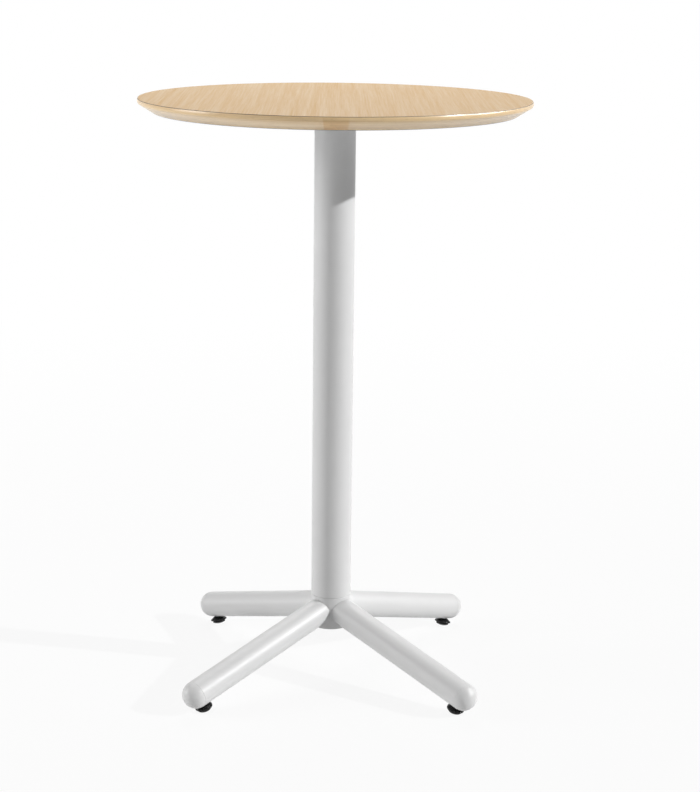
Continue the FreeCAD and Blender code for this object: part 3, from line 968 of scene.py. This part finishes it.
FLOOR_SIZE = 60.0
FLOOR_GREY = 0.75
NEAR_WHITE = 0.9  # share of plain white in what the camera sees of the floor near the table
NEAR_RADIUS = 0.9
FAR_RADIUS = 3.5  # from here on the camera sees the floor plain white
AMBIENT = 0.08  # the world's light on the table
TABLE_MIDDLE = (0, 0, TABLE_HEIGHT / 2)


def seen_directly(tree):
    """1 for camera, glossy and transmission rays."""
    path = tree.nodes.new("ShaderNodeLightPath")
    total = path.outputs["Is Camera Ray"]
    for name in ("Is Glossy Ray", "Is Transmission Ray"):
        larger = tree.nodes.new("ShaderNodeMath")
        larger.operation = "MAXIMUM"
        tree.links.new(total, larger.inputs[0])
        tree.links.new(path.outputs[name], larger.inputs[1])
        total = larger.outputs[0]
    return total


def make_floor():
    """A pale floor that keeps the table's shadow and whitens with the distance."""
    mesh = bpy.data.meshes.new("floor")
    half = FLOOR_SIZE / 2
    corners = [(-half, -half, 0), (half, -half, 0), (half, half, 0), (-half, half, 0)]
    mesh.from_pydata(corners, [], [(0, 1, 2, 3)])
    floor = bpy.data.objects.new("floor", mesh)
    bpy.context.scene.collection.objects.link(floor)

    material = bpy.data.materials.new("floor")
    material.use_nodes = True
    tree = material.node_tree
    tree.nodes.clear()
    diffuse = tree.nodes.new("ShaderNodeBsdfDiffuse")
    diffuse.inputs["Color"].default_value = colour(FLOOR_GREY, FLOOR_GREY, FLOOR_GREY)
    white = tree.nodes.new("ShaderNodeEmission")
    white.inputs["Strength"].default_value = 1.0
    distance = tree.nodes.new("ShaderNodeVectorMath")
    distance.operation = "LENGTH"
    tree.links.new(tree.nodes.new("ShaderNodeTexCoord").outputs["Object"], distance.inputs[0])
    whiteness = tree.nodes.new("ShaderNodeMapRange")
    whiteness.interpolation_type = "SMOOTHSTEP"
    for socket, value in zip(whiteness.inputs[1:5], (NEAR_RADIUS, FAR_RADIUS, NEAR_WHITE, 1.0)):
        socket.default_value = value
    tree.links.new(distance.outputs["Value"], whiteness.inputs[0])
    share = tree.nodes.new("ShaderNodeMath")
    share.operation = "MULTIPLY"
    tree.links.new(whiteness.outputs[0], share.inputs[1])
    tree.links.new(seen_directly(tree), share.inputs[0])
    mix = tree.nodes.new("ShaderNodeMixShader")
    tree.links.new(share.outputs[0], mix.inputs[0])
    tree.links.new(diffuse.outputs[0], mix.inputs[1])
    tree.links.new(white.outputs[0], mix.inputs[2])
    output = tree.nodes.new("ShaderNodeOutputMaterial")
    tree.links.new(mix.outputs[0], output.inputs["Surface"])
    mesh.materials.append(material)


def make_world():
    """White where it is seen directly or in a reflection, and otherwise a weak ambient light."""
    world = bpy.data.worlds.new("studio")
    world.use_nodes = True
    tree = world.node_tree
    background = tree.nodes["Background"]
    background.inputs["Color"].default_value = colour(1, 1, 1)
    strength = tree.nodes.new("ShaderNodeMapRange")
    tree.links.new(seen_directly(tree), strength.inputs[0])
    strength.inputs["To Min"].default_value = AMBIENT
    strength.inputs["To Max"].default_value = 1.0
    tree.links.new(strength.outputs[0], background.inputs["Strength"])
    bpy.context.scene.world = world


def lamp(name, kind, energy, at, towards=TABLE_MIDDLE, **settings):
    data = bpy.data.lights.new(name, kind)
    data.energy = energy
    for key, value in settings.items():
        setattr(data, key, value)
    made = bpy.data.objects.new(name, data)
    made.location = at
    made.rotation_mode = "QUATERNION"
    made.rotation_quaternion = (Vector(at) - Vector(towards)).to_track_quat("Z", "Y")
    made.visible_camera = False
    bpy.context.scene.collection.objects.link(made)
    return made


def towards_light(azimuth, elevation, distance=5.0):
    """A point this far from the origin. Azimuth 0 is in front, at -Y, and 90 on the right, at +X."""
    a, e = math.radians(azimuth), math.radians(elevation)
    return Vector((math.sin(a) * math.cos(e), -math.cos(a) * math.cos(e), math.sin(e))) * distance


def make_lights():
    """A crisp key from the right, soft fills from the left, panels on the left and behind, a lamp
    that only gloss shows, and the glow of the floor in front."""
    foot = (0, 0, 0)
    crisp, soft = math.radians(1.2), math.radians(25)
    lamp("key", "SUN", 2.97, towards_light(77, 27.6), foot, angle=crisp)
    lamp("left_fill", "SUN", 0.57, towards_light(-90, 8), foot, angle=soft)
    lamp("left_high_fill", "SUN", 1.0, towards_light(-90, 25), foot, angle=soft)
    lamp("front_left_fill", "SUN", 0.25, towards_light(-50, 12), foot, angle=soft)
    lamp("left_panel", "AREA", 7.9, (-2.6, -0.3, 1.1), shape="RECTANGLE", size=1.2, size_y=1.4)
    lamp("back_overhead", "AREA", 42, (0, 2.4, 3.0), shape="RECTANGLE", size=2.0, size_y=2.0)
    sheen_at = towards_light(96, 42, distance=3.5)
    sheen_box = lamp("sheen_box", "AREA", 110, sheen_at, shape="SQUARE", size=1.5)
    sheen_box.visible_diffuse = False
    glow_at, glow_towards = (0, -1.0, 0.004), (0, -1.0, 1)
    lamp("floor_glow", "AREA", 2.6, glow_at, glow_towards, shape="RECTANGLE", size=5.0, size_y=5.0)


CAMERA_PLACE = Vector((0.0032, -3.5656, 1.4032))
CAMERA_YAW = 0.4717  # degrees to the right of +Y
CAMERA_PITCH = 13.5777  # degrees below level
CAMERA_ROLL = -0.6683  # degrees
CAMERA_LENS = 88.274  # mm
SENSOR_WIDTH = 36.0  # mm


def make_camera():
    """The lens that sees the table from standing height, about 3.5 m in front of it."""
    yaw, pitch, roll = (math.radians(a) for a in (CAMERA_YAW, CAMERA_PITCH, CAMERA_ROLL))
    forward = Vector(
        (math.sin(yaw) * math.cos(pitch), math.cos(yaw) * math.cos(pitch), -math.sin(pitch))
    )
    right = Vector((math.cos(yaw), -math.sin(yaw), 0))
    down = forward.cross(right)
    turned_right = right * math.cos(roll) + down * math.sin(roll)
    turned_down = down * math.cos(roll) - right * math.sin(roll)
    data = bpy.data.cameras.new("camera")
    data.sensor_width = SENSOR_WIDTH
    data.lens = CAMERA_LENS
    data.clip_end = 100
    camera = bpy.data.objects.new("camera", data)
    camera.matrix_world = frame_matrix(turned_right, -turned_down, -forward, CAMERA_PLACE)
    bpy.context.scene.collection.objects.link(camera)
    bpy.context.scene.camera = camera


# ---------------------------------------------------------------- build

powder = powder_coat("powder_coat")
cap_powder = powder_coat("cap_powder_coat")
zinc_steel = metal("zinc_steel", (0.66, 0.67, 0.70), (0.50, 0.51, 0.54), 0.34)
bare_steel = metal("bare_steel", (0.46, 0.46, 0.47), (0.34, 0.34, 0.35), 0.42)
gloss_black = black_gloss()

make_face()
make_lipping()
make_underside()
make_plate(powder, zinc_steel)
make_column(powder, black_moulding())
make_legs(powder, cap_powder)
make_feet(gloss_black, zinc_steel)
finish_inner_nodes(powder, zinc_steel, bare_steel)
make_floor()
make_world()
make_lights()
make_camera()
bpy.context.scene.view_settings.view_transform = "Standard"
